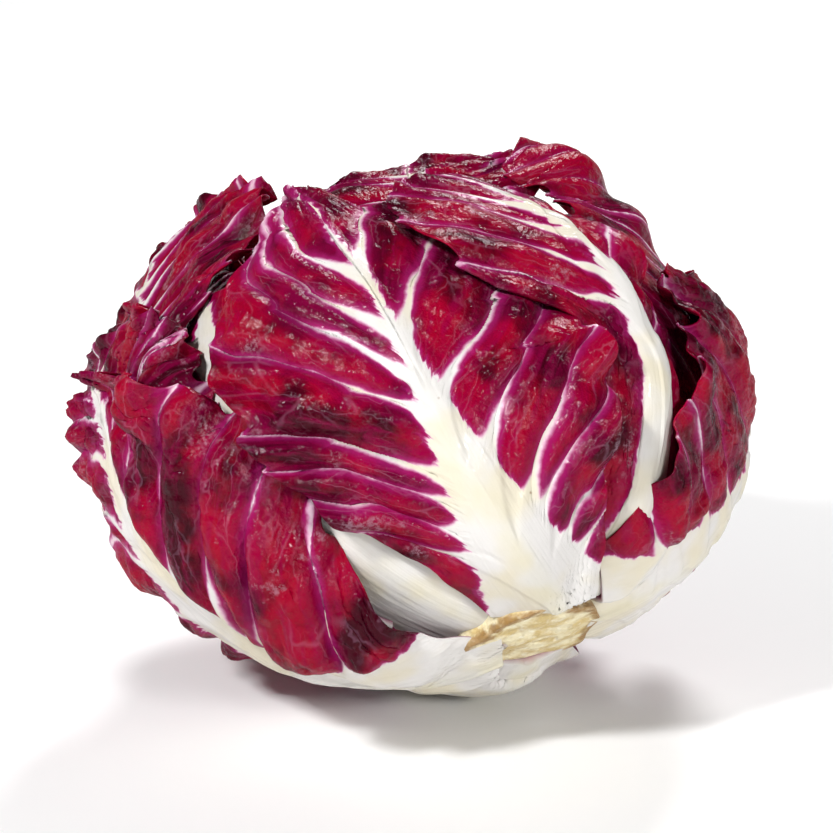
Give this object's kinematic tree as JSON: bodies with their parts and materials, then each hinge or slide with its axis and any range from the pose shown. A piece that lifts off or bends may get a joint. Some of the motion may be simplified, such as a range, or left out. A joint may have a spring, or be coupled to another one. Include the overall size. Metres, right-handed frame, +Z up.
{
  "type": "radicchio head",
  "caption": "Round red radicchio head with white-ribbed overlapping leaves and a cut stem, lying on its lower leaves.",
  "frame": {"origin": "middle of the bounding box's floor, on the surface that the head rests on", "axes": "+Z up as the head lies, -Y to the front where the cut stem shows low and to the right, +X to the right"},
  "size_m": [0.136, 0.1296, 0.1086],
  "materials": {
    "leaf": "semi-gloss crimson leaf with white veins",
    "inner_leaf": "satin dark crimson leaf",
    "stem": "moist cream flesh, browned at the cut edge"
  },
  "bodies": {
    "root": {"heart": "inner_leaf", "inner_leaf_front": "inner_leaf", "inner_leaf_right": "inner_leaf", "inner_leaf_back": "inner_leaf", "inner_leaf_left": "inner_leaf", "top_leaf": "leaf", "back_leaf_left": "leaf", "back_leaf_right": "leaf", "back_leaf_middle": "leaf", "upper_left_leaf": "leaf", "left_rib_leaf": "leaf", "left_outer_leaf": "leaf", "far_right_leaf": "leaf", "right_leaf": "leaf", "right_outer_leaf": "leaf", "bottom_leaf": "leaf", "lower_left_leaf": "leaf", "front_leaf": "leaf", "stem": "stem"}
  },
  "joints": []
}
